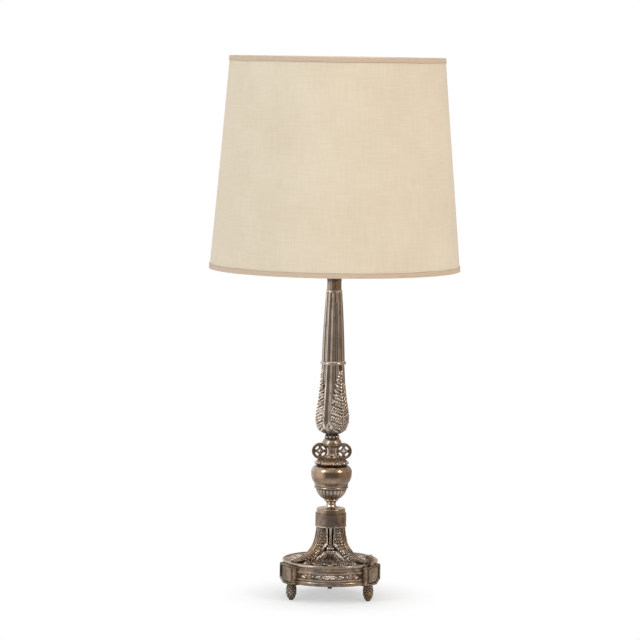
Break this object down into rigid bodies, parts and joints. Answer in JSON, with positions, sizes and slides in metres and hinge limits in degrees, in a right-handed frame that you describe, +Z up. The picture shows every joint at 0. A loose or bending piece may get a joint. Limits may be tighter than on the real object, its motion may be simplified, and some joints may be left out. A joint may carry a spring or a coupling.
{
  "type": "candlestick table lamp",
  "caption": "Silver-plated candlestick on pine-cone feet, wired as a table lamp, with a tapered drum shade clamped on its lampholder.",
  "frame": {"origin": "on the lamp's axis at table level, between the three feet", "axes": "+Z up the stem; the front, which the picture shows, faces -Y; +X is to its right"},
  "size_m": [0.351, 0.351, 0.7577],
  "materials": {
    "silver_plate": "tarnished silver plate, worn bright on the high points",
    "cast_iron": "as cast",
    "steel": "zinc plated",
    "black_rubber": "matt",
    "cable_sheath": "matt",
    "terminal_plastic": "moulded",
    "holder_brass": "lacquered brass",
    "contact_brass": "bright",
    "porcelain": "glazed",
    "switch_plastic": "moulded",
    "bulb_glass": "clear",
    "bulb_cap": "rolled",
    "filament": "phosphor coated",
    "shade_fabric": "cream fabric on a stiff backing",
    "shade_tape": "woven tape",
    "shade_wire": "white powder coat"
  },
  "bodies": {
    "root": {"foot_rear": "silver_plate", "foot_left": "silver_plate", "foot_right": "silver_plate", "plinth_rear": "silver_plate", "plinth_left": "silver_plate", "plinth_right": "silver_plate", "wall_panel_front": "silver_plate", "wall_panel_right": "silver_plate", "wall_panel_left": "silver_plate", "base_deck": "silver_plate", "leaf_dome": "silver_plate", "console_rear": "silver_plate", "console_left": "silver_plate", "console_right": "silver_plate", "scroll_lug": "silver_plate", "stem_column": "silver_plate", "collar_drum": "silver_plate", "collar_cap": "silver_plate", "urn_spool": "silver_plate", "urn_bowl": "silver_plate", "urn_body": "silver_plate", "urn_flange": "silver_plate", "urn_waist": "silver_plate", "urn_cap": "silver_plate", "ear_left": "silver_plate", "ear_right": "silver_plate", "rosette_left": "silver_plate", "rosette_right": "silver_plate", "bead_ring": "silver_plate", "baluster": "silver_plate", "shaft_ring": "silver_plate", "fluted_shaft": "silver_plate", "shaft_capital": "silver_plate", "console_screws": "steel", "tie_rod": "steel", "rod_nut": "steel", "rod_washer": "steel", "base_plate": "steel", "plate_screws": "steel", "ballast_ring": "cast_iron", "cord_bush": "black_rubber", "terminal_block": "terminal_plastic", "inner_lead": "cable_sheath", "holder_cap": "holder_brass", "holder_body": "holder_brass", "holder_core": "porcelain", "contact_shell": "contact_brass", "centre_contact": "contact_brass"},
    "switch": {"switch_knob": "switch_plastic"},
    "bulb": {"bulb_cap": "bulb_cap", "bulb_glass": "bulb_glass", "bulb_filament": "filament"},
    "clamp_ring": {"shade_ring": "holder_brass"},
    "shade": {"shade_cover": "shade_fabric", "trim_top": "shade_tape", "trim_bottom": "shade_tape", "shade_top_wire": "shade_wire", "shade_spider": "shade_wire"}
  },
  "joints": [
    {"name": "switch_turn", "type": "hinge", "parent": "root", "child": "switch", "pos_m": [0, -0.03, 0.4894], "axis": [0, -1, 0], "continuous": true},
    {"name": "bulb_out", "type": "slide", "parent": "root", "child": "bulb", "axis": [0, 0, 1], "range_m": [0, 0.06]},
    {"name": "clamp_ring_off", "type": "slide", "parent": "root", "child": "clamp_ring", "axis": [0, 0, 1], "range_m": [0, 0.11]},
    {"name": "shade_turn", "type": "hinge", "parent": "clamp_ring", "child": "shade", "pos_m": [0, 0, 0.5], "axis": [0, 0, 1], "continuous": true}
  ]
}
